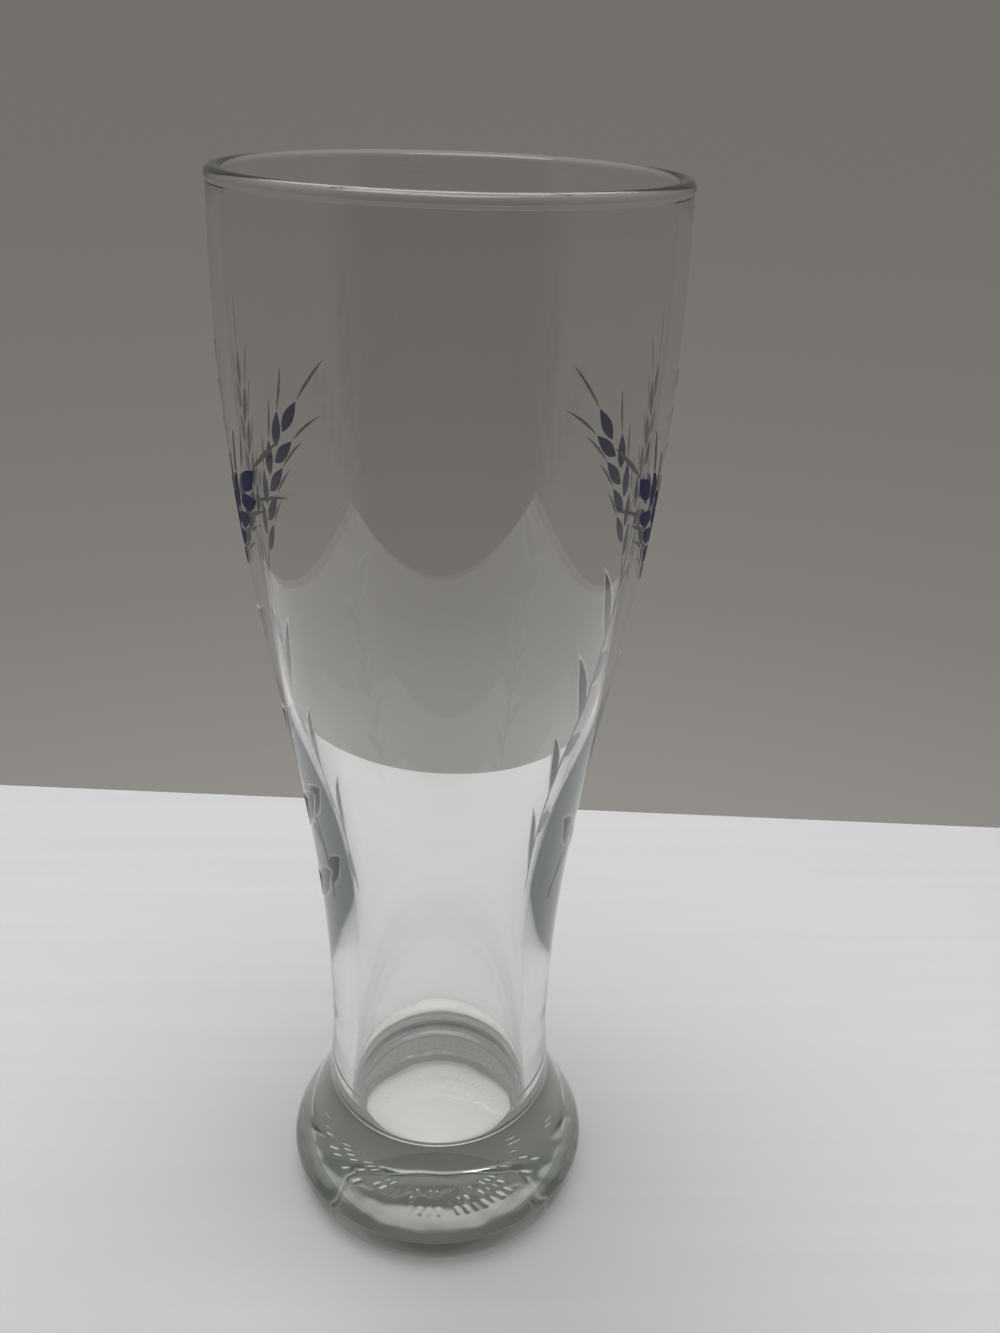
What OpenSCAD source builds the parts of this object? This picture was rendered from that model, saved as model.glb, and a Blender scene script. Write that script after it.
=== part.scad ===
// Pilsner glass: a flared drinking glass on a heavy solid foot, with a fired-on print on each side.
// Its axis is Z, it stands on the plane z = 0, and the two prints face +X and -X.

/* [Rim] */
// Height of the glass
glass_h = 216; // [190:1:240]
// Outside diameter of the bead round the rim
rim_d = 76.6; // [70:0.2:84]
// How far the bead stands out from the wall, outside and inside
bead_proud = 0.2; // [0.1:0.05:0.6]
// Height of the bead
bead_h = 2.4; // [1.6:0.1:3.4]

/* [Bowl] */
// Outside diameter at the waist, where the glass is most slender
waist_d = 46.8; // [42:0.2:48.4]
// Height of the waist
waist_h = 46; // [40:1:60]
// How far the slender shape of the waist carries on upwards
waist_run = 70; // [45:1:75]
// How far the straight side of the rim carries on downwards
bowl_run = 74; // [50:1:80]
// Lean of the side inwards at the rim, in degrees from upright
rim_lean = 2; // [0:0.5:4]
// Thickness of the wall round the well and at the waist
low_wall_t = 5.3; // [4.5:0.1:6.5]
// Height up to which the wall keeps that thickness
thick_wall_h = 60; // [50:1:70]
// Thickness of the wall where it is thinnest
mid_wall_t = 1.9; // [1.6:0.1:3]
// Height at which it is thinnest
thin_wall_h = 130; // [115:1:150]
// Thickness of the wall under the bead
rim_wall_t = 2.4; // [1.8:0.1:2.6]

/* [Foot] */
// Widest diameter of the foot
foot_d = 66; // [62:0.2:70]
// Height of the foot's widest circle
foot_wide_h = 9; // [6:0.5:11]
// Diameter of the crease where the wall meets the foot
crease_d = 49; // [48.6:0.2:52]
// Height of the crease
crease_h = 28; // [24:0.5:32]
// Lean of the foot's shoulder at the crease, in degrees from upright
shoulder_lean = 20; // [15:1:35]
// Outside diameter of the ring that the glass stands on
ring_d = 57.6; // [54:0.2:60]
// Width of that ring
ring_w = 4; // [3:0.5:6]
// Height of the hollow under the foot, at its centre
hollow_h = 2.2; // [1:0.1:4]

/* [Well] */
// How far the edge of the well's floor lies below the crease
floor_drop = 6; // [5:0.1:8]
// How far the floor's centre is dished
floor_dish = 0.8; // [0.2:0.1:1.5]
// Radius of the round between the floor and the wall
well_round_r = 3.6; // [2.4:0.1:4.6]

/* [Ring knurls] */
// Number of short grooves across the ring that the glass stands on
knurl_count = 72; // [48:2:90]
// Width of a groove at the table
knurl_w = 0.9; // [0.6:0.1:1.2]
// Depth of a groove
knurl_depth = 0.2; // [0.1:0.05:0.3]

/* [Print] */
// Height of the foot of the printed plant
print_low_h = 72; // [62:1:80]
// How far below the rim its stem ends and its ears begin
ears_drop = 73; // [66:1:81]
// Thickness of a fired layer of ink
ink_t = 0.12; // [0.08:0.01:0.3]
// Width of the stem
stem_w = 1.1; // [0.7:0.1:1.4]
// How far the stem sways to one side on its way up
stem_sway = 3.4; // [0:0.2:5]
// Length of a leaf
leaf_l = 14; // [9:0.5:15]
// Width of a leaf
leaf_w = 4; // [2.6:0.2:4.6]
// Number of leaves along the stem
leaf_count = 7; // [4:1:7]
// Length of an ear, without its awns
ear_l = 23; // [19:1:25]
// Angle between neighbouring ears, in degrees
ear_spread = 38; // [34:1:44]
// Length of a grain
grain_l = 6.4; // [5:0.2:7]
// Width of a grain
grain_w = 2.8; // [2:0.1:3.2]
// Length of the middle awn of an ear
awn_l = 9; // [6:1:12]
// Width of an awn at its root
awn_w = 0.6; // [0.4:0.05:0.75]
// Width of the white line round a leaf
outline_w = 0.5; // [0.3:0.05:0.6]
// Bare glass left between two inks
ink_gap = 0.35; // [0.25:0.05:0.5]

/* [Hidden] */

glass_colour = [0.80, 0.85, 0.83, 0.35];
navy_ink = [0.06, 0.09, 0.30];
grey_ink = [0.42, 0.42, 0.41];
slate_ink = [0.27, 0.30, 0.40];
white_ink = [0.92, 0.92, 0.90];

// Curves along the outline are cut into this many straight steps
wall_steps = 36;
neck_steps = 6;
foot_steps = 14;
round_steps = 8;
// Points along each edge of a printed blade
blade_steps = 6;
$fn = 96;

rim_r = rim_d / 2;
bowl_r = rim_r - bead_proud;
bead_w = rim_wall_t + 2 * bead_proud;
waist_r = waist_d / 2;
foot_r = foot_d / 2;
crease_r = crease_d / 2;
ring_r = ring_d / 2;
wall_top_h = glass_h - bead_h;
ears_h = glass_h - ears_drop;
floor_h = crease_h - floor_drop;

// A cubic curve's points, the way that it runs there, and what lies to the right of that way
function cubic(a, b, c, d, t) =
    pow(1 - t, 3) * a + 3 * pow(1 - t, 2) * t * b + 3 * (1 - t) * t * t * c + t * t * t * d;
function cubic_way(a, b, c, d, t) =
    3 * pow(1 - t, 2) * (b - a) + 6 * (1 - t) * t * (c - b) + 3 * t * t * (d - c);
function right_of(way) = [way[1], -way[0]] / norm(way);
function backwards(list) = [for (i = [len(list) - 1 : -1 : 0]) list[i]];

// The wall's outside runs from the crease to the waist, and from the waist in one long S to the bead
neck_run = (waist_h - crease_h) / 3;
crease_point = [crease_r, crease_h];
crease_pull = [(crease_r + waist_r) / 2, crease_h + neck_run];
waist_pull_down = [waist_r, waist_h - neck_run];
waist_point = [waist_r, waist_h];
waist_pull_up = [waist_r, waist_h + waist_run];
bead_pull = [bowl_r + bowl_run * sin(rim_lean), wall_top_h - bowl_run * cos(rim_lean)];
bead_point = [bowl_r, wall_top_h];
function neck_out(t) = cubic(crease_point, crease_pull, waist_pull_down, waist_point, t);
function neck_way(t) = cubic_way(crease_point, crease_pull, waist_pull_down, waist_point, t);
function side_out(t) = cubic(waist_point, waist_pull_up, bead_pull, bead_point, t);
function side_way(t) = cubic_way(waist_point, waist_pull_up, bead_pull, bead_point, t);

// The wall is as thick up the waist as round the well, thins as the glass flares, and thickens again
// a little towards the bead
function eased(share) = share * share * (3 - 2 * share);
function wall_t(h) =
    let (thinned = min(1, max(0, (h - thick_wall_h) / (thin_wall_h - thick_wall_h))))
    let (regained = max(0, (h - thin_wall_h) / (wall_top_h - thin_wall_h)))
    low_wall_t + (mid_wall_t - low_wall_t) * eased(thinned) + (rim_wall_t - mid_wall_t) * regained;
function inside(point, way) = point - right_of(way) * wall_t(point[1]);

side_outline = [for (i = [0 : wall_steps]) side_out(i / wall_steps)];
neck_outline = [for (i = [0 : neck_steps - 1]) neck_out(i / neck_steps)];
side_inline = [for (i = [0 : wall_steps]) inside(side_out(i / wall_steps), side_way(i / wall_steps))];
neck_inline = [for (i = [0 : neck_steps - 1]) inside(neck_out(i / neck_steps), neck_way(i / neck_steps))];

// The waist holds this share of the long S, and the bowl the rest. They meet across the wall.
waist_share = 1 / 5;
waist_steps = round(waist_share * wall_steps);
function up_to(list, last) = [for (i = [0 : last]) list[i]];
function on_from(list, first) = [for (i = [first : len(list) - 1]) list[i]];

// The round at the bottom of the well, from the floor (0 degrees) to the wall (90 degrees). The wall
// of the well stands upright from there to the crease.
well_r = crease_r - low_wall_t;
well_round_c = [well_r - well_round_r, floor_h + well_round_r];
function well_round(angle) = well_round_c + well_round_r * [sin(angle), -cos(angle)];
function round_points(from, to) =
    [for (i = [0 : round_steps]) well_round(from + (to - from) * i / round_steps)];
well_brim = [well_r, crease_h];
waist_inline = concat([well_brim], on_from(neck_inline, 1), up_to(side_inline, waist_steps));
rim_in_r = side_inline[wall_steps][0];

// Foot: a solid cast block. Its shoulder falls from the crease at its own lean, then rounds over to
// the widest circle and under to the ring that it stands on. The straight and the upright ends of
// that curve reach these shares of its height.
shoulder_share = 1 / 2;
upright_share = 1 / 6;
shoulder_h = crease_h - foot_wide_h;
wide_pull = [foot_r, foot_wide_h + upright_share * shoulder_h];
shoulder_pull = crease_point + shoulder_share * shoulder_h * [tan(shoulder_lean), -1];
function shoulder(t) = cubic([foot_r, foot_wide_h], wide_pull, shoulder_pull, crease_point, t);
function under_round(angle) =
    [ring_r + (foot_r - ring_r) * sin(angle), foot_wide_h - foot_wide_h * cos(angle)];

// The block under the well holds this share of the shoulder's curve, and the ring round the well the
// rest. They meet on a ring from there to the middle of the round at the bottom of the well.
block_share = 4 / 5;
block_steps = round(block_share * foot_steps);
join_angle = 45;

// The floor's dish and the hollow under the foot are shallow parts of a sphere
function dish(radius, depth, share) =
    let (sphere_r = (radius * radius + depth * depth) / (2 * depth))
    sqrt(sphere_r * sphere_r - radius * radius * share * share) - (sphere_r - depth);

module foot() {
    floor_r = well_round_c[0];
    hollow_r = ring_r - ring_w;
    color(glass_colour)
    difference() {
        rotate_extrude()
        polygon(concat(
            [for (i = [0 : foot_steps])
                [hollow_r * i / foot_steps, dish(hollow_r, hollow_h, i / foot_steps)]],
            [for (i = [0 : foot_steps]) under_round(90 * i / foot_steps)],
            [for (i = [1 : block_steps]) shoulder(i / foot_steps)],
            round_points(join_angle, 0),
            [for (i = [foot_steps - 1 : -1 : 0])
                [floor_r * i / foot_steps, floor_h - dish(floor_r, floor_dish, i / foot_steps)]]
        ));
        ring_knurls();
    }
}

// Short round-bottomed grooves across the standing ring
module ring_knurls() {
    groove_r = (knurl_w * knurl_w / 4 + knurl_depth * knurl_depth) / (2 * knurl_depth);
    groove_l = ring_w / 2;
    for (i = [0 : knurl_count - 1])
        rotate([0, 0, 360 * (i + 0.5) / knurl_count])
        translate([ring_r - ring_w / 2 - groove_l / 2, 0, knurl_depth - groove_r])
        rotate([0, 90, 0])
        cylinder(h = groove_l, r = groove_r);
}

// Shoulder: the cast ring round the well, up to the crease
module shoulder_ring() {
    color(glass_colour)
    rotate_extrude()
    polygon(concat(
        [for (i = [block_steps : foot_steps]) shoulder(i / foot_steps)],
        [well_brim],
        round_points(90, join_angle)
    ));
}

// Waist: the thick, slender lower wall, from the crease to where the glass begins to flare
module waist() {
    color(glass_colour)
    rotate_extrude()
    polygon(concat(neck_outline, up_to(side_outline, waist_steps), backwards(waist_inline)));
}

// Bowl: the flared upper wall, from the waist to the bead
module bowl() {
    color(glass_colour)
    rotate_extrude()
    polygon(concat(
        on_from(side_outline, waist_steps),
        backwards(on_from(side_inline, waist_steps))
    ));
}

// Rim bead: the melted edge, a little fuller than the wall that it caps
module rim_bead() {
    bead_c = [rim_r - bead_w / 2, wall_top_h + bead_h / 2];
    corner = atan2(bead_h / 2, bead_w / 2);
    color(glass_colour)
    rotate_extrude()
    polygon(concat(
        [[rim_in_r, wall_top_h], [bowl_r, wall_top_h]],
        [for (i = [0 : 2 * round_steps])
            let (angle = -corner + (180 + 2 * corner) * i / (2 * round_steps))
            bead_c + [bead_w / 2 * cos(angle), bead_h / 2 * sin(angle)]]
    ));
}

// Prints. Each ink is a layer of its own, a thin skin of the wall cut to the shapes that it prints:
// a plant of three ears on one stem, drawn flat and wrapped onto the side.

// A bent centre line from a towards b and on to c, and its direction
function bend(a, b, c, t) = pow(1 - t, 2) * a + 2 * (1 - t) * t * b + t * t * c;
function bend_way(a, b, c, t) = 2 * (1 - t) * (b - a) + 2 * t * (c - b);
function heading(angle) = [sin(angle), cos(angle)];

// A blade is pointed at both ends and fullest a little below its middle. Where it is grown, its
// points move out by more than its sides.
belly_power = 0.85;
point_growth_share = 1.6;
function blade_edge(a, b, c, width, grow, share, side) =
    let (over = point_growth_share * grow / norm(c - a))
    let (t = share * (1 + 2 * over) - over)
    let (half_w = (width / 2 + grow) * sin(180 * pow(share, belly_power)))
    bend(a, b, c, t) + side * half_w * right_of(bend_way(a, b, c, t));
module blade(a, b, c, width, grow = 0) {
    polygon(concat(
        [for (i = [0 : blade_steps]) blade_edge(a, b, c, width, grow, i / blade_steps, 1)],
        [for (i = [blade_steps - 1 : -1 : 1]) blade_edge(a, b, c, width, grow, i / blade_steps, -1)]
    ));
}

// A stalk is a strip that narrows from its root to its end
module stalk(a, b, c, root_w, end_w) {
    function edge(t, side) =
        bend(a, b, c, t) + side * right_of(bend_way(a, b, c, t)) * (root_w + (end_w - root_w) * t) / 2;
    polygon(concat(
        [for (i = [0 : blade_steps]) edge(i / blade_steps, 1)],
        [for (i = [blade_steps : -1 : 0]) edge(i / blade_steps, -1)]
    ));
}

// The stem is pulled aside at its middle and comes back
stem_low = [0, print_low_h];
stem_pull = [2 * stem_sway, (print_low_h + ears_h) / 2];
stem_high = [0, ears_h];

// One neck for each ear, in shares of a grain's length: the middle one is the longest
ear_ids = [-1, 0, 1];
side_neck_share = 1.2;
middle_neck_share = 2.2;
function neck_l(ear) = grain_l * (ear == 0 ? middle_neck_share : side_neck_share);

// The outer ears lean out from their necks to their tips by these shares of the angle between ears
neck_lean_share = 0.7;
low_lean_share = 0.8;
high_lean_share = 1.15;
function ear_low(ear) = stem_high + neck_l(ear) * heading(ear * ear_spread * neck_lean_share);
function ear_mid(ear) = ear_low(ear) + ear_l / 2 * heading(ear * ear_spread * low_lean_share);
function ear_high(ear) = ear_mid(ear) + ear_l / 2 * heading(ear * ear_spread * high_lean_share);
function ear_point(ear, t) = bend(ear_low(ear), ear_mid(ear), ear_high(ear), t);
function ear_angle(ear, t) =
    let (way = bend_way(ear_low(ear), ear_mid(ear), ear_high(ear), t))
    atan2(way[0], way[1]);

// Grains sit in two rows that alternate, turned outwards, with one more at the tip. side is -1 or 1
// for the two rows and 0 at the tip. Each grain ends in an awn that turns back along the ear.
grain_turn = 28;
grain_curl = 9;
awn_turn = 19;
awn_curl = 6;
row_step_share = 0.72;
row_count = floor(ear_l / (row_step_share * grain_l));
function row_place(row, side) = (row + (side + 1) / 4) / row_count;
function grain_root(ear, row, side) =
    let (place = row_place(row, side))
    ear_point(ear, place) + ink_gap * side * right_of(heading(ear_angle(ear, place)));
function tip_root(ear) = ear_point(ear, 1) + ink_gap * heading(ear_angle(ear, 1));

module grain(root, along, side) {
    angle = along + side * grain_turn;
    belly = root + grain_l / 2 * heading(angle + side * grain_curl);
    blade(root, belly, root + grain_l * heading(angle), grain_w);
}
module awn(root, along, side, length) {
    from = root + (grain_l + ink_gap) * heading(along + side * grain_turn);
    angle = along + side * awn_turn;
    point = from + length * heading(angle + side * awn_curl);
    blade(from, from + length / 2 * heading(angle), point, awn_w);
}

module ears() {
    for (ear = ear_ids) {
        for (row = [0 : row_count - 1], side = [-1, 1])
            grain(grain_root(ear, row, side), ear_angle(ear, row_place(row, side)), side);
        grain(tip_root(ear), ear_angle(ear, 1), 0);
    }
}

// Awns grow longer up the ear, from this share of the middle one's length
low_awn_share = 0.6;
high_awn_share = 0.9;
module awns() {
    for (ear = ear_ids) {
        for (row = [0 : row_count - 1], side = [-1, 1]) {
            length_share = low_awn_share + (high_awn_share - low_awn_share) * row / row_count;
            along = ear_angle(ear, row_place(row, side));
            awn(grain_root(ear, row, side), along, side, awn_l * length_share);
        }
        awn(tip_root(ear), ear_angle(ear, 1), 0, awn_l);
    }
}

// Leaves stand on alternate sides of the stem and curl outwards. The lowest stands this share of the
// step between two leaves above the stem's foot.
leaf_turn = 24;
leaf_curl = 30;
first_leaf_share = 0.4;
module leaves(grow = 0) {
    for (i = [0 : leaf_count - 1]) {
        side = i % 2 == 0 ? 1 : -1;
        place = (i + first_leaf_share) / (leaf_count + first_leaf_share);
        root = bend(stem_low, stem_pull, stem_high, place);
        middle = root + leaf_l / 2 * heading(side * leaf_turn);
        blade(root, middle, middle + leaf_l / 2 * heading(side * (leaf_turn + leaf_curl)), leaf_w, grow);
    }
}

// The stem, and a neck that narrows to half its width and stops just short of each ear
module stems(grow = 0) {
    root_w = stem_w + 2 * grow;
    stalk(stem_low, stem_pull, stem_high, root_w, root_w);
    for (ear = ear_ids) {
        neck_end = ear_low(ear) - ink_gap * heading(ear_angle(ear, 0));
        stalk(stem_high, stem_high + neck_l(ear) / 2 * heading(0), neck_end, root_w, root_w - stem_w / 2);
    }
}
module leaf_outlines() {
    difference() {
        leaves(ink_gap + outline_w);
        leaves(ink_gap);
        stems(ink_gap);
    }
}

// A skin of ink over the whole side, and the part of it that lies under a flat drawing. The drawing's
// across and up are the glass's Y and Z.
module ink_skin() {
    rotate_extrude()
    polygon(concat(
        side_outline,
        backwards([for (i = [0 : wall_steps])
            side_outline[i] + ink_t * right_of(side_way(i / wall_steps))])
    ));
}
module printed() {
    intersection() {
        ink_skin();
        rotate([90, 0, 90])
        linear_extrude(height = foot_r + rim_r)
        children();
    }
}
module other_side() {
    rotate([0, 0, 180])
    children();
}

module right_navy_ears() {
    color(navy_ink)
    printed()
    ears();
}
module right_grey_awns() {
    color(grey_ink)
    printed()
    awns();
}
module right_slate_leaves() {
    color(slate_ink)
    printed() {
        stems();
        leaves();
    }
}
module right_white_outlines() {
    color(white_ink)
    printed()
    leaf_outlines();
}
module left_navy_ears() {
    other_side()
    right_navy_ears();
}
module left_grey_awns() {
    other_side()
    right_grey_awns();
}
module left_slate_leaves() {
    other_side()
    right_slate_leaves();
}
module left_white_outlines() {
    other_side()
    right_white_outlines();
}

rim_bead();
bowl();
waist();
shoulder_ring();  // shoulder
foot();
right_navy_ears();
right_grey_awns();
right_slate_leaves();
right_white_outlines();
left_navy_ears();
left_grey_awns();
left_slate_leaves();
left_white_outlines();
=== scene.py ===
import math

import bmesh
import bpy
import numpy as np
from mathutils import Matrix, Vector, noise


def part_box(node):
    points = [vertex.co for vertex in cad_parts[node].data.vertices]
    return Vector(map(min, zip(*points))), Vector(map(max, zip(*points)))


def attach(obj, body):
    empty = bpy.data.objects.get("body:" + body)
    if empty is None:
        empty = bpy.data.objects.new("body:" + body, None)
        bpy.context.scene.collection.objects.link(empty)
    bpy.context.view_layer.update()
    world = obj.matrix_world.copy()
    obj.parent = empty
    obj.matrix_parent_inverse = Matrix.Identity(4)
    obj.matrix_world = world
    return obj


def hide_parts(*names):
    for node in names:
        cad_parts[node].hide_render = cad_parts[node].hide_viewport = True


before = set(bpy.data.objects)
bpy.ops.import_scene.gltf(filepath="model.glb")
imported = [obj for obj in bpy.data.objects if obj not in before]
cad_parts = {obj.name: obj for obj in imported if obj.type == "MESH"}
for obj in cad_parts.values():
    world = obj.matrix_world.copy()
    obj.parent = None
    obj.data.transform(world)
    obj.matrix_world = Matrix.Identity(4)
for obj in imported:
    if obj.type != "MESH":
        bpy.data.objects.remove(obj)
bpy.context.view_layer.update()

# Camera. It stands a little above the rim at arm's length and looks steeply down the glass, so the
# foot looks small and far, and it is held slightly tilted.
camera_back = 0.20345
camera_height = 0.2316
look_down = math.radians(26.88)
look_right = math.radians(2.94)
tilt = math.radians(2.15)
lens_mm = 32.41
sensor_mm = 36

forward = Vector((
    math.sin(look_right) * math.cos(look_down),
    math.cos(look_right) * math.cos(look_down),
    -math.sin(look_down),
))
level_right = Vector((math.cos(look_right), -math.sin(look_right), 0))
level_up = level_right.cross(forward)
camera_right = level_right * math.cos(tilt) + level_up * math.sin(tilt)
camera_up = level_up * math.cos(tilt) - level_right * math.sin(tilt)

camera_data = bpy.data.cameras.new("camera")
camera_data.lens = lens_mm
camera_data.sensor_width = sensor_mm
camera_data.clip_start = 0.01
camera = bpy.data.objects.new("camera", camera_data)
bpy.context.scene.collection.objects.link(camera)
turn = Matrix((camera_right, camera_up, -forward)).transposed()
camera.matrix_world = Matrix.Translation((0, -camera_back, camera_height)) @ turn.to_4x4()
bpy.context.scene.camera = camera
bpy.context.scene.view_settings.view_transform = "Standard"


# Shader maths, first used for the table. A Wire is what comes out of a node, and an expression of
# wires adds the Math nodes that work it out.
class Wire:
    def __init__(self, tree, socket):
        self.tree = tree
        self.socket = socket

    def math(self, operation, first, second):
        return self.tree.add("ShaderNodeMath", {"operation": operation}, {0: first, 1: second})

    def __add__(self, other):
        return self.math("ADD", self, other)

    def __sub__(self, other):
        return self.math("SUBTRACT", self, other)

    def __rsub__(self, other):
        return self.math("SUBTRACT", other, self)

    def __mul__(self, other):
        return self.math("MULTIPLY", self, other)

    def __pow__(self, other):
        return self.math("POWER", self, other)

    def __gt__(self, other):
        return self.math("GREATER_THAN", self, other)

    def __lt__(self, other):
        return self.math("LESS_THAN", self, other)

    __radd__ = __add__
    __rmul__ = __mul__

    def bell(self, spread):
        """1 where this is 0, and fading out on both sides over that spread."""
        falling = self * self * (-1 / spread ** 2)
        return self.tree.add("ShaderNodeMath", {"operation": "EXPONENT"}, {0: falling})

    def eased(self, start, end):
        """0 at start and before it, 1 at end and beyond it, and smooth between."""
        sockets = {"Value": self, "From Min": start, "From Max": end}
        return self.tree.add("ShaderNodeMapRange", {"interpolation_type": "SMOOTHSTEP"}, sockets)


class Tree:
    def __init__(self, owner):
        owner.use_nodes = True
        self.nodes = owner.node_tree.nodes
        self.links = owner.node_tree.links
        self.nodes.clear()

    def add(self, kind, settings=None, sockets=None, output=0):
        """One node: its type, its settings, and what its sockets hold or are linked to."""
        node = self.nodes.new(kind)
        for name, value in (settings or {}).items():
            if name == "stops":
                ramp = node.color_ramp.elements
                for position, colour in value[1:-1]:
                    ramp.new(position).color = colour
                for index in (0, -1):
                    ramp[index].position, ramp[index].color = value[index]
            else:
                setattr(node, name, value)
        for name, value in (sockets or {}).items():
            if isinstance(value, Wire):
                self.links.new(value.socket, node.inputs[name])
            else:
                node.inputs[name].default_value = value
        return Wire(self, node.outputs[output]) if node.outputs else None

    def mix(self, share, low, high):
        """A colour between low and high."""
        sockets = {0: share, 6: low, 7: high}
        return self.add("ShaderNodeMix", {"data_type": "RGBA"}, sockets, output=2)


# Table: a small matt pale laminate top with faint streaks across it, turned slightly askew behind
# the glass. It is the stage that the glass stands on, a hair's breadth below it, and not part of it.
table_back = 0.1468
table_front = 0.273
table_askew = 0.0611
table_half_w = 0.283
air_film = 0.00003
streak_scale = (6, 160, 1)
laminate_low = (0.645, 0.645, 0.648, 1)
laminate_high = (0.695, 0.695, 0.695, 1)
laminate_roughness = 0.6

table_mesh = bpy.data.meshes.new("table")
table_mesh.from_pydata(
    [
        (-table_half_w, -table_front + table_askew * table_half_w, -air_film),
        (table_half_w, -table_front - table_askew * table_half_w, -air_film),
        (table_half_w, table_back - table_askew * table_half_w, -air_film),
        (-table_half_w, table_back + table_askew * table_half_w, -air_film),
    ],
    [],
    [(0, 1, 2, 3)],
)
table = bpy.data.objects.new("table", table_mesh)
bpy.context.scene.collection.objects.link(table)

# Painted shade: the top's colour is painted greyer in soft pools round the glass, round the foot and
# towards its front edge, and a painted light patch is a little paler where light that the glass gathers
# would fall. Right under the foot it keeps its own tone.
shade_tone = (0.1, 0.1, 0.1, 1)
bare_r = 0.024
glass_shade_at = (0, -0.042, 0)
glass_shade_r = 0.093
glass_shade = 0.26
foot_shade_r = 0.034
foot_shade = 0.22
painted_light_at = (-0.03, -0.06, 0)
painted_light_r = 0.035
painted_light = 0.18
edge_shade_r = 0.17
edge_shade = 0.35

laminate = bpy.data.materials.new("pale_laminate")
table_mesh.materials.append(laminate)
tree = Tree(laminate)
place = tree.add("ShaderNodeTexCoord", output="Object")
along = tree.add("ShaderNodeMapping", sockets={"Vector": place, "Scale": streak_scale})
streaks = tree.add("ShaderNodeTexNoise", sockets={"Vector": along, "Scale": 1, "Detail": 3})


def pool(tree, place, centre, spread):
    """A soft round pool on a surface: 1 at its centre, and fading with distance."""
    sockets = {0: place, 1: centre}
    away = tree.add("ShaderNodeVectorMath", {"operation": "DISTANCE"}, sockets, output="Value")
    return away.bell(spread)


# Painted shade pools and a painted light patch, summed into one share of the shade tone in the base
# colour.
round_foot = 1 - pool(tree, place, (0, 0, 0), bare_r)
shade = pool(tree, place, glass_shade_at, glass_shade_r) * round_foot * glass_shade
shade = shade + pool(tree, place, (0, 0, 0), foot_shade_r) * round_foot * foot_shade
# Painted light: a paler patch where light gathered by the glass would fall.
shade = shade - pool(tree, place, painted_light_at, painted_light_r) * painted_light
shade = shade + pool(tree, place, (0, -table_front, 0), edge_shade_r) * edge_shade
top = tree.add("ShaderNodeBsdfPrincipled", sockets={
    "Base Color": tree.mix(shade, tree.mix(streaks, laminate_low, laminate_high), shade_tone),
    "Roughness": laminate_roughness,
})
tree.add("ShaderNodeOutputMaterial", sockets={"Surface": top})

# Room: a plain warm grey backdrop that the camera and the glass see, a little paler low down and
# pale overhead. What the glass mirrors of the room in front of it is dim. Matt surfaces get an even
# soft light instead, strongest from overhead, and one soft panel hangs above.
backdrop_tones = [
    (0.23, (0.282, 0.269, 0.252, 1)),
    (0.295, (0.228, 0.216, 0.202, 1)),
    (0.38, (0.194, 0.181, 0.169, 1)),
    (0.46, (0.177, 0.165, 0.153, 1)),
    (0.64, (0.17, 0.163, 0.155, 1)),
    (0.77, (0.17, 0.163, 0.155, 1)),
    (0.92, (0.19, 0.185, 0.175, 1)),
    (0.97, (0.62, 0.62, 0.61, 1)),
]
dim_tone = (0.035, 0.034, 0.034, 1)
dim_from = -0.5
dim_to = -0.66
dim_below = 0.35
side_light = (0.24, 0.24, 0.24, 1)
top_light = (5, 5, 5, 1)
top_narrow = 16

world = bpy.data.worlds.new("room")
bpy.context.scene.world = world
tree = Tree(world)
direction = tree.add("ShaderNodeTexCoord", output="Generated")
rise = tree.add("ShaderNodeSeparateXYZ", sockets={"Vector": direction}, output="Z")
depth = tree.add("ShaderNodeSeparateXYZ", sockets={"Vector": direction}, output="Y")
backdrop = tree.add("ShaderNodeValToRGB", {"stops": backdrop_tones}, {"Fac": rise * 0.5 + 0.5})
dim = depth.eased(dim_from, dim_to) * (rise < dim_below)
mirrored = tree.add("ShaderNodeLightPath", output="Glossy Depth") > 0.5
seen_room = tree.mix(dim * mirrored, backdrop, dim_tone)
overhead = (rise * (rise > 0)) ** top_narrow
soft_light = tree.mix(overhead, side_light, top_light)
looked_at = sum(
    tree.add("ShaderNodeLightPath", output=f"Is {kind} Ray")
    for kind in ("Camera", "Glossy", "Transmission")
) > 0.5
first_sight = tree.add("ShaderNodeLightPath", output="Diffuse Depth") < 0.5
room = tree.add("ShaderNodeBackground", sockets={
    "Color": tree.mix(looked_at * first_sight, soft_light, seen_room),
})
tree.add("ShaderNodeOutputWorld", sockets={"Surface": room})


def soft_panel(name, place, aim, width, length, power):
    lamp = bpy.data.lights.new(name, "AREA")
    lamp.shape = "RECTANGLE"
    lamp.size = width
    lamp.size_y = length
    lamp.energy = power
    panel = bpy.data.objects.new(name, lamp)
    bpy.context.scene.collection.objects.link(panel)
    panel.location = place
    panel.rotation_euler = (Vector(aim) - Vector(place)).to_track_quat("-Z", "Y").to_euler()


soft_panel("overhead_panel", place=(-0.1, -0.12, 1.2), aim=(0, 0, 0.05), width=0.9, length=0.5, power=4)

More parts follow.
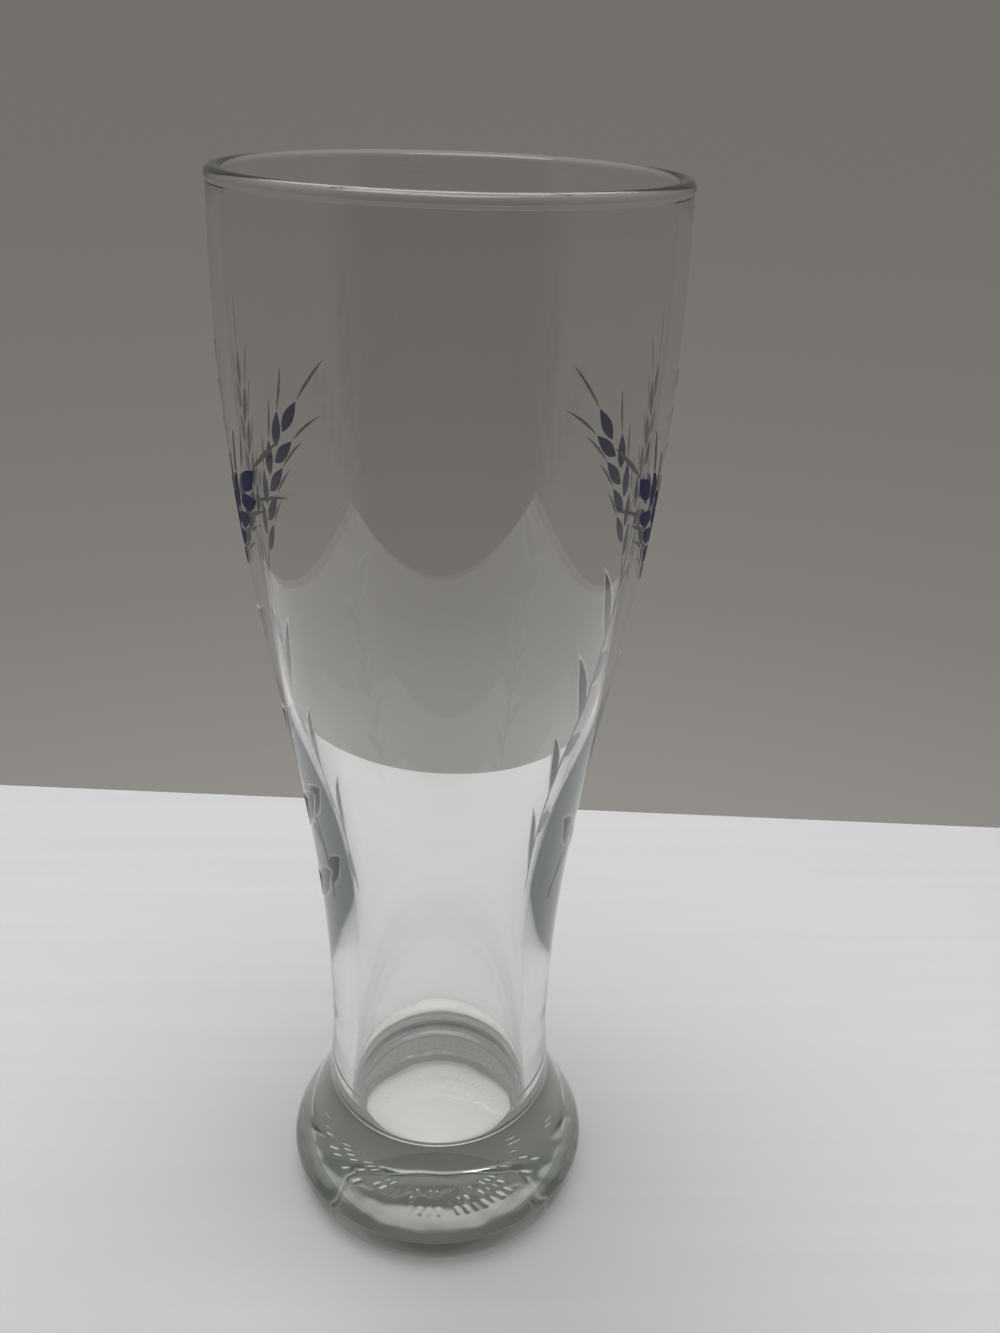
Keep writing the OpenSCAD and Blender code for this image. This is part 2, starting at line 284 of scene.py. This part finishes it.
# Glass: one piece of soda-lime glass, as it comes out of the mould: a heavy cast foot, a crease, a
# slender waist whose thick wall thins as it flares in one long S, and a fire-polished rim bead.
rim_low, rim_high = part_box("rim_bead")
rim_r = rim_high.x
rim_h = rim_high.z
bead_h = rim_high.z - rim_low.z
foot_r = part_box("foot")[1].x
crease_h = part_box("shoulder")[1].z
bead_proud = 0.0002
crease_r = 0.0245
waist_r = 0.0234
waist_h = 0.046
waist_run = 0.070
bowl_run = 0.074
rim_lean = math.radians(2)
low_wall = 0.0053
thick_wall_h = 0.060
middle_wall = 0.0019
thin_wall_h = 0.130
rim_wall = 0.0024
foot_wide_h = 0.009
shoulder_lean = math.radians(20)
ring_r = 0.0288
ring_w = 0.004
hollow_h = 0.0022
floor_drop = 0.006
floor_dish = 0.0008
well_round = 0.0036
crease_round = 0.0008
edge_round = 0.0009

bowl_r = rim_r - bead_proud
bead_w = rim_wall + 2 * bead_proud
wall_top = rim_h - bead_h
floor_h = crease_h - floor_drop
well_r = crease_r - low_wall
hollow_r = ring_r - ring_w


def cubic(a, b, c, d, t):
    return (1 - t) ** 3 * a + 3 * (1 - t) ** 2 * t * b + 3 * (1 - t) * t * t * c + t ** 3 * d


def steps(count):
    return [i / count for i in range(count + 1)]


def curve(start, start_pull, end_pull, end, count):
    """Points along the curve that leaves start towards its pull and comes to end from its own."""
    return [cubic(start, start_pull, end_pull, end, t) for t in steps(count)]


def arc(centre, half_w, half_h, start, end, count):
    """Points along an ellipse, from one angle to another in degrees, counted from its right."""
    angles = [math.radians(start + (end - start) * share) for share in steps(count)]
    return [centre + Vector((half_w * math.cos(a), half_h * math.sin(a))) for a in angles]


def dish(radius, depth, r):
    """Height over its edge of a shallow dish of that radius and depth, at r from its centre."""
    sphere = (radius * radius + depth * depth) / (2 * depth)
    return math.sqrt(sphere * sphere - r * r) - (sphere - depth)


def softened(below, corner, above, reach, count=6):
    """The corner of two runs of points, rounded over that reach on each side."""
    low = corner + (below - corner).normalized() * reach
    high = corner + (above - corner).normalized() * reach
    return [low.lerp(corner, t).lerp(corner.lerp(high, t), t) for t in steps(count)]


# Outside of the wall: a short neck from the crease in to the waist, then the long S up to the bead.
neck_count = 12
side_count = 56
crease = Vector((crease_r, crease_h))
waist = Vector((waist_r, waist_h))
bead_foot = Vector((bowl_r, wall_top))
neck_run = Vector((0, (waist_h - crease_h) / 3))
neck_start = Vector(((crease_r + waist_r) / 2, crease_h + neck_run.y))
neck = curve(crease, neck_start, waist - neck_run, waist, neck_count)
bead_pull = bead_foot + bowl_run * Vector((math.sin(rim_lean), -math.cos(rim_lean)))
side = curve(waist, waist + Vector((0, waist_run)), bead_pull, bead_foot, side_count)
outer_wall = neck + side[1:]


def wall_at(h):
    """Thickness of the wall at a height: it thins as the glass flares, then thickens a little."""
    thinned = min(1, max(0, (h - thick_wall_h) / (thin_wall_h - thick_wall_h)))
    regained = max(0, (h - thin_wall_h) / (wall_top - thin_wall_h))
    smooth = thinned * thinned * (3 - 2 * thinned)
    return low_wall + (middle_wall - low_wall) * smooth + (rim_wall - middle_wall) * regained


# Inside of the wall, from the top of the well up to the bead.
inner_wall = [Vector((well_r, crease_h))]
for before, point, after in zip(outer_wall, outer_wall[1:], outer_wall[2:]):
    way = (after - before).normalized()
    inner_wall.append(point + Vector((-way.y, way.x)) * wall_at(point.y))
inner_wall = [p for p in inner_wall if p.y == crease_h or p.y > crease_h + crease_round]

# Underside: a dished hollow with a plain centre and a belt of pressed strokes, whose points are
# closer together, inside the flat ring that the glass stands on.
plain_r = 0.009
strokes_r = 0.0175
hollow_radii = np.concatenate([
    np.linspace(0, plain_r, 7)[1:],
    np.linspace(plain_r, strokes_r, 21)[1:],
    np.linspace(strokes_r, hollow_r, 9)[1:],
])
ring_count = 10
hollow = [Vector((r, dish(hollow_r, hollow_h, r))) for r in hollow_radii]
dished = [p for p in hollow if p.x < hollow_r - edge_round]
outline = [Vector((0, hollow_h))] + dished
outline += softened(hollow[-2], Vector((hollow_r, 0)), Vector((ring_r, 0)), edge_round)
outline += [
    Vector((hollow_r + edge_round + (ring_w - edge_round) * t, 0))
    for t in steps(ring_count)[1:-1]
]

# Foot and wall: the round of the foot, its shoulder, the softened crease and the wall.
foot_count = 14
shoulder_count = 20
shoulder_h = crease_h - foot_wide_h
wide = Vector((foot_r, foot_wide_h))
wide_pull = wide + Vector((0, shoulder_h / 6))
shoulder_pull = crease + shoulder_h / 2 * Vector((math.tan(shoulder_lean), -1))
shoulder = curve(wide, wide_pull, shoulder_pull, crease, shoulder_count)
outline += arc(Vector((ring_r, foot_wide_h)), foot_r - ring_r, foot_wide_h, -90, 0, foot_count)
outline += [p for p in shoulder[1:] if (p - crease).length > crease_round]
outline += softened(shoulder[-2], crease, outer_wall[1], crease_round)
outline += [p for p in outer_wall[1:] if (p - crease).length > crease_round]

# Bead: a half round on top, which runs into both faces of the wall without a kink.
bead_count = 18
blend_count = 6
bead_centre = Vector((rim_r - bead_w / 2, wall_top + bead_h / 2))
bead_rise = Vector((0, bead_h / 6))
bead_out = bead_centre + Vector((bead_w / 2, 0))
bead_in = bead_centre - Vector((bead_w / 2, 0))
wall_in = inner_wall[-1]
outline += curve(bead_foot, bead_foot + bead_rise, bead_out - bead_rise, bead_out, blend_count)[1:-1]
outline += arc(bead_centre, bead_w / 2, bead_h / 2, 0, 180, bead_count)
outline += curve(bead_in, bead_in - bead_rise, wall_in + bead_rise, wall_in, blend_count)[1:-1]

# Inside: down the wall, round the bottom of the well and across its slightly dished floor.
well_count = 10
floor_count = 6
well_centre = Vector((well_r - well_round, floor_h + well_round))
outline += inner_wall[::-1]
outline += arc(well_centre, well_round, well_round, 0, -90, well_count)
for t in steps(floor_count)[-2:0:-1]:
    r = well_centre.x * t
    outline.append(Vector((r, floor_h - dish(well_centre.x, floor_dish, r))))
outline.append(Vector((0, floor_h - floor_dish)))

# The glass is turned from its outline. Short grooves cross the ring that it stands on, and the
# inside of the wall keeps the slight waves that a blown wall has.
turns = 360
groove_count = 72
groove_w = 0.0009
groove_depth = 0.0002
wave = 0.00002
wave_size = 0.018
wave_stretch = 3
square_end = 4


def groove_at(r, angle):
    """Depth of the grooves in the ring that the glass stands on."""
    across = abs((angle * groove_count / (2 * math.pi)) % 1 - 0.5) * 2 * math.pi * r / groove_count
    along = abs(r - (ring_r - ring_w / 2)) / (ring_w / 4)
    return groove_depth * max(0, 1 - (2 * across / groove_w) ** 2) * max(0, 1 - along ** square_end)


# In the hollow stand rows of short pressed strokes, some strong and some hardly there, on the
# faint unevenness that the mould leaves. They send flecks of light up through the foot.
stroke_count = 60
stroke_w = 0.0009
stroke_depth = 0.00008
stroke_rows = (0.0105, 0.013, 0.0158)
strokes_run = 0.0011
stroke_contrast = 3
stroke_mean = 0.3
stroke_seed = 3.7
row_seed = 900
uneven = 0.00003
uneven_size = 0.004


def relief_at(r, angle):
    """How far the relief in the hollow stands down at a place."""
    place = Vector((math.cos(angle), math.sin(angle), 0)) * r
    depth = uneven * noise.noise(place / uneven_size) * min(1, (hollow_r - r) / strokes_run)
    for row in stroke_rows:
        turned = angle * stroke_count / (2 * math.pi) + row / strokes_run
        chance = noise.noise((math.floor(turned) * stroke_seed, row * row_seed, 0))
        strength = min(1, max(0, stroke_contrast * chance + stroke_mean))
        across = abs(turned % 1 - 0.5) * 2 * math.pi * r / stroke_count
        along = abs(r - row) / strokes_run
        rounded = max(0, 1 - (2 * across / stroke_w) ** 2)
        depth += stroke_depth * strength * rounded * max(0, 1 - along ** square_end)
    return depth


glass_mesh = bmesh.new()
rings = []
inside_from = outline.index(inner_wall[-1])
for index, point in enumerate(outline):
    if point.x == 0:
        rings.append([glass_mesh.verts.new((0, 0, point.y))] * turns)
        continue
    ring = []
    for turn_index in range(turns):
        angle = 2 * math.pi * turn_index / turns
        r = point.x
        z = point.y + (groove_at(r, angle) if point.y == 0 else 0)
        if index <= len(dished):
            z -= relief_at(r, angle)
        if index >= inside_from and point.y > well_centre.y:
            place = Vector((math.cos(angle), math.sin(angle), 0)) * waist_r
            r += wave * noise.noise((place + Vector((0, 0, point.y / wave_stretch))) / wave_size)
        ring.append(glass_mesh.verts.new((r * math.cos(angle), r * math.sin(angle), z)))
    rings.append(ring)
for low, high in zip(rings, rings[1:]):
    for i in range(turns):
        j = (i + 1) % turns
        corners = dict.fromkeys((low[i], low[j], high[j], high[i]))
        glass_mesh.faces.new(corners).smooth = True
bmesh.ops.recalc_face_normals(glass_mesh, faces=glass_mesh.faces)

# Finish of the glass: clear and fire-polished, with long faint ripples and smudges, the mould's
# seam round the foot, worn matt where it stands, and slightly matt where the strokes are pressed.
refraction = 1.52
ripple_scale = (60, 60, 18)
smudge_scale = 45
smudge_matt = 0.015
worn_h = 0.0003
worn_matt = 0.45
pressed_matt = 0.05
seam_h = 0.009
seam_w = 0.0003
seam_rise = 2.5
edge_w = 0.0004
edge_rise = 3
edge_zone_h = 0.001
bump_strength = 0.12
bump_distance = 0.0004

clear_glass = bpy.data.materials.new("clear_glass")
tree = Tree(clear_glass)
place = tree.add("ShaderNodeTexCoord", output="Object")
long_waves = tree.add("ShaderNodeMapping", sockets={"Vector": place, "Scale": ripple_scale})
ripple = tree.add("ShaderNodeTexNoise", sockets={"Vector": long_waves, "Scale": 1, "Detail": 1})
smudges = tree.add("ShaderNodeTexNoise", sockets={"Vector": place, "Scale": smudge_scale, "Detail": 4})
height = tree.add("ShaderNodeSeparateXYZ", sockets={"Vector": place}, output="Z")
level = tree.add("ShaderNodeVectorMath", {"operation": "MULTIPLY"}, {0: place, 1: (1, 1, 0)})
radius = tree.add("ShaderNodeVectorMath", {"operation": "LENGTH"}, {0: level}, output="Value")
seam = (height - seam_h).bell(seam_w)
ring_edges = (radius - hollow_r).bell(edge_w) + (radius - ring_r).bell(edge_w)
bumps = tree.add("ShaderNodeBump", sockets={
    "Strength": bump_strength,
    "Distance": bump_distance,
    "Height": ripple + seam * seam_rise + ring_edges * (height < edge_zone_h) * edge_rise,
})
worn = height < worn_h
pressed = (height < hollow_h) * (radius < hollow_r) * (radius > plain_r)

# Tint and painted shade. The outside of the foot is painted greyer than the thin wall, most of all near
# its base, in place of the dim room seen through and mirrored in it. The flared bowl is a little greyer
# higher up.
foot_skin_r = 0.0205
foot_fade = 0.003
base_from = 0.017
base_to = 0.010
bowl_grey_from = 0.095
bowl_grey_to = 0.13
clear_tint = (1, 1, 1, 1)
painted_foot_shade = (0.84, 0.865, 0.82, 1)
painted_base_shade = (0.34, 0.352, 0.328, 1)
bowl_grey_tint = (0.94, 0.94, 0.935, 1)
body_tint = (0.83, 0.86, 0.81, 1)
body_density = 15

outside = radius > foot_skin_r
on_foot = outside * height.eased(crease_h, crease_h - foot_fade)
on_base = on_foot * height.eased(base_from, base_to)
# Painted shade on the outside of the foot and its base, mixed into the base colour.
shaded_tint = tree.mix(on_foot, clear_tint, painted_foot_shade)
shaded_tint = tree.mix(on_base, shaded_tint, painted_base_shade)
# The bowl is a little greyer from the waist up.
shaded_tint = tree.mix(height.eased(bowl_grey_from, bowl_grey_to), shaded_tint, bowl_grey_tint)
polished = tree.add("ShaderNodeBsdfPrincipled", sockets={
    "Base Color": shaded_tint,
    "Transmission Weight": 1,
    "IOR": refraction,
    "Roughness": smudges * smudge_matt + worn * worn_matt + pressed * pressed_matt,
    "Normal": bumps,
})
body = tree.add("ShaderNodeVolumeAbsorption", sockets={"Color": body_tint, "Density": body_density})

# Painted light: where light keeps turning inside the wall past a few turns, the glass glows with a set
# tone instead, paler in the waist, which has the pale table round it. The glass's own shadow on the table
# is faint.
waist_to = 0.125
most_crossings = 10.5
most_mirrorings = 3.5
trapped_tone = (0.025, 0.028, 0.026, 1)
trapped_waist = (0.115, 0.13, 0.12, 1)
shadow_clear = 0.99
shadow_wall = 0.1
shadow_foot = 0.18

in_waist = (height > crease_h) * (height < waist_to)
painted_trapped_glow = tree.add("ShaderNodeEmission", sockets={
    "Color": tree.mix(in_waist, trapped_tone, trapped_waist),
})
crossings = tree.add("ShaderNodeLightPath", output="Ray Depth")
mirrorings = tree.add("ShaderNodeLightPath", output="Glossy Depth")
trapped = (crossings > most_crossings) + (mirrorings > most_mirrorings) > 0.5
surface = tree.add("ShaderNodeMixShader", sockets={0: trapped, 1: polished, 2: painted_trapped_glow})
clear = tree.add("ShaderNodeBsdfTransparent", sockets={"Color": (1, 1, 1, 1)})
in_shadow = tree.add("ShaderNodeLightPath", output="Is Shadow Ray")
let_through = in_shadow * (shadow_clear - outside * shadow_wall - on_foot * shadow_foot)
surface = tree.add("ShaderNodeMixShader", sockets={0: let_through, 1: surface, 2: clear})
tree.add("ShaderNodeOutputMaterial", sockets={"Surface": surface, "Volume": body})


def finished(name, mesh, material, slot, *nodes):
    """The piece made of that mesh, which stands for those nodes of the frame."""
    data = bpy.data.meshes.new(name)
    mesh.to_mesh(data)
    mesh.free()
    data.materials.append(material)
    piece = bpy.data.objects.new(name, data)
    bpy.context.scene.collection.objects.link(piece)
    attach(piece, "root")
    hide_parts(*nodes)


glass_zones = ("rim_bead", "bowl", "waist", "shoulder", "foot")
finished("glass", glass_mesh, clear_glass, "clear_glass", *glass_zones)

# Print: enamel inks screened onto the outside of the wall and fired on, each through a screen of its
# own. On each side a plant of three bearded ears stands on a stem with seven leaves.
ink_top = 0.0001
ink_bottom = -0.00002
print_low = 0.072
ears_drop = 0.073
ears_h = rim_h - ears_drop
ink_gap = 0.00035

wall_heights = [p.y for p in outer_wall]
wall_radii = [p.x for p in outer_wall]


def heading(degrees):
    return Vector((math.sin(math.radians(degrees)), math.cos(math.radians(degrees))))


def bend(line, t):
    """Point on a bent line from its first point towards its second and on to its third."""
    return line[0].lerp(line[1], t).lerp(line[1].lerp(line[2], t), t)


def bend_side(line, t):
    """Unit vector to the right of a bent line."""
    way = (line[1] - line[0]).lerp(line[2] - line[1], t).normalized()
    return Vector((way.y, -way.x))


def lay(mesh, rows, sunk=0.0, across=4):
    """A closed layer of ink wrapped onto the wall. rows are pairs of points of its two edges."""
    layers = []
    for depth in (ink_bottom, ink_top - sunk):
        grid = []
        for left, right in rows:
            line = []
            for share in steps(across):
                flat = left.lerp(right, share)
                r = float(np.interp(flat.y, wall_heights, wall_radii)) + depth
                line.append(mesh.verts.new((math.sqrt(r * r - flat.x ** 2), flat.x, flat.y)))
            grid.append(line)
        layers.append(grid)
    low, high = layers
    last = len(rows) - 1
    quads = []
    for i in range(last):
        for j in range(across):
            quads.append((high[i][j], high[i + 1][j], high[i + 1][j + 1], high[i][j + 1]))
            quads.append((low[i][j], low[i][j + 1], low[i + 1][j + 1], low[i + 1][j]))
        for j in (0, across):
            quads.append((low[i][j], low[i + 1][j], high[i + 1][j], high[i][j]))
    for i in (0, last):
        for j in range(across):
            quads.append((low[i][j], low[i][j + 1], high[i][j + 1], high[i][j]))
    for quad in quads:
        mesh.faces.new(quad)


def both_edges(line, t, half_w):
    """Points half a width to the left and to the right of a bent line."""
    out = bend_side(line, t) * half_w
    return bend(line, t) - out, bend(line, t) + out


def blade(line, width, grow=0.0, count=14):
    """Edges of a blade, pointed at both ends and fullest a little below its middle."""
    tip_reach = 1.6
    fullness = 0.85
    over = tip_reach * grow / (line[2] - line[0]).length
    rows = []
    for share in steps(count):
        half_w = (width / 2 + grow) * math.sin(math.pi * share ** fullness)
        rows.append(both_edges(line, share * (1 + 2 * over) - over, half_w))
    return rows


def stalk(line, root_w, end_w, count=24):
    """Edges of a strip that narrows from its root to its end."""
    return [both_edges(line, t, (root_w + (end_w - root_w) * t) / 2) for t in steps(count)]


# Stem, necks and ears share these lines. An ear's two rows of grains are its sides -1 and 1, and
# the grain at its tip is side 0.
stem_w = 0.0011
stem_sway = 0.0034
ear_l = 0.023
ear_spread = 38
ear_turns = (0.7, 0.8, 1.15)
middle_neck = 2.2
outer_neck = 1.2
grain_l = 0.0064
grain_w = 0.0028
grain_turn = 28
grain_curl = 9
grain_pitch = 0.72

stem_low = Vector((0, print_low))
stem_high = Vector((0, ears_h))
stem = (stem_low, Vector((2 * stem_sway, (print_low + ears_h) / 2)), stem_high)
row_count = math.floor(ear_l / (grain_pitch * grain_l))
ears = []
necks = []
for ear in (-1, 0, 1):
    neck_l = grain_l * (middle_neck if ear == 0 else outer_neck)
    low_way, middle_way, high_way = (heading(ear * ear_spread * share) for share in ear_turns)
    low = stem_high + neck_l * low_way
    middle = low + ear_l / 2 * middle_way
    ears.append((low, middle, middle + ear_l / 2 * high_way))
    end = low - ink_gap * (middle - low).normalized()
    necks.append((stem_high, stem_high + Vector((0, neck_l / 2)), end))


def grain_places():
    """Root, way out of the ear, side and share of the way up the ear for each grain."""
    for ear in ears:
        for row in range(row_count):
            for row_side in (-1, 1):
                share = (row + (row_side + 1) / 4) / row_count
                out = bend_side(ear, share)
                yield bend(ear, share) + ink_gap * row_side * out, out, row_side, row / row_count
        out = bend_side(ear, 1)
        yield ear[2] + ink_gap * Vector((-out.y, out.x)), out, 0, 1


# Each grain in navy carries a thin awn in grey, which is longer towards the tip of the ear.
awn_l = 0.009
awn_w = 0.0006
awn_turn = 19
awn_curl = 6
awn_low = 0.6
awn_gain = 0.3

navy = bmesh.new()
grey = bmesh.new()
for root, out, row_side, share in grain_places():
    along = math.degrees(math.atan2(-out.y, out.x))
    angle = along + row_side * grain_turn
    belly = root + grain_l / 2 * heading(angle + row_side * grain_curl)
    lay(navy, blade((root, belly, root + grain_l * heading(angle)), grain_w))
    start = root + (grain_l + ink_gap) * heading(angle)
    angle = along + row_side * awn_turn
    length = awn_l * (awn_low + awn_gain * share if row_side else 1)
    point = start + length * heading(angle + row_side * awn_curl)
    lay(grey, blade((start, start + length / 2 * heading(angle), point), awn_w))

# Stem, necks and leaves in slate, and white outlines along the leaves. Where strips of one ink
# overlap, each is sunk a little more than the last, so that no two tops share a plane.
leaf_l = 0.014
leaf_w = 0.004
leaf_count = 7
leaf_turn = 24
leaf_curl = 30
leaf_start = 0.4
outline_w = 0.0005
neck_sunk = 0.000008
leaf_sunk = 0.00001
stem_steps = 60
leaf_steps = 24
outline_steps = 40

slate = bmesh.new()
white = bmesh.new()
lay(slate, stalk(stem, stem_w, stem_w, stem_steps))
for index, neck_line in enumerate(necks):
    lay(slate, stalk(neck_line, stem_w, stem_w / 2), sunk=neck_sunk * (index + 1))
for i in range(leaf_count):
    leaf_side = 1 if i % 2 == 0 else -1
    root = bend(stem, (i + leaf_start) / (leaf_count + leaf_start))
    middle = root + leaf_l / 2 * heading(leaf_side * leaf_turn)
    leaf = (root, middle, middle + leaf_l / 2 * heading(leaf_side * (leaf_turn + leaf_curl)))
    lay(slate, blade(leaf, leaf_w, count=leaf_steps), sunk=leaf_sunk)
    near = blade(leaf, leaf_w, ink_gap, outline_steps)
    far = blade(leaf, leaf_w, ink_gap + outline_w, outline_steps)
    for edge in (0, 1):
        beside_stem = []
        for near_edges, far_edges in zip(near, far):
            start = near_edges[edge]
            stem_x = bend(stem, (start.y - print_low) / (ears_h - print_low)).x
            if leaf_side * (start.x - stem_x) > stem_w / 2 + ink_gap:
                beside_stem.append((start, far_edges[edge]))
        lay(white, beside_stem)


def enamel(name, pale, deep):
    """Satin fired enamel: a little uneven in colour and gloss, with the screen's fine dimples."""
    patch_scale = 900
    dimple_scale = 5000
    least_matt = 0.35
    uneven_matt = 0.25
    material = bpy.data.materials.new(name)
    tree = Tree(material)
    place = tree.add("ShaderNodeTexCoord", output="Object")
    patches = tree.add("ShaderNodeTexNoise", sockets={"Vector": place, "Scale": patch_scale, "Detail": 4})
    dimples = tree.add("ShaderNodeTexVoronoi", sockets={"Vector": place, "Scale": dimple_scale})
    bumps = tree.add("ShaderNodeBump", sockets={
        "Strength": 0.3,
        "Distance": 0.00004,
        "Height": dimples,
    })
    surface = tree.add("ShaderNodeBsdfPrincipled", sockets={
        "Base Color": tree.mix(patches, deep, pale),
        "Roughness": patches * uneven_matt + least_matt,
        "Specular IOR Level": 0.25,
        "Normal": bumps,
    })
    tree.add("ShaderNodeOutputMaterial", sockets={"Surface": surface})
    return material


inks = [
    ("navy_ears", navy, "navy_enamel", (0.016, 0.021, 0.098, 1), (0.007, 0.010, 0.055, 1)),
    ("grey_awns", grey, "grey_enamel", (0.20, 0.19, 0.17, 1), (0.12, 0.115, 0.105, 1)),
    ("slate_leaves", slate, "slate_enamel", (0.060, 0.068, 0.100, 1), (0.035, 0.040, 0.062, 1)),
    ("white_outlines", white, "white_enamel", (0.78, 0.78, 0.76, 1), (0.66, 0.66, 0.64, 1)),
]
half_turn = Matrix.Rotation(math.pi, 3, "Z")
for name, mesh, slot_name, pale, deep in inks:
    material = enamel(slot_name, pale, deep)
    bmesh.ops.remove_doubles(mesh, verts=mesh.verts, dist=1e-7)
    bmesh.ops.recalc_face_normals(mesh, faces=mesh.faces)
    other = mesh.copy()
    bmesh.ops.rotate(other, verts=other.verts, cent=(0, 0, 0), matrix=half_turn)
    finished("right_" + name + "_ink", mesh, material, slot_name, "right_" + name)
    finished("left_" + name + "_ink", other, material, slot_name, "left_" + name)
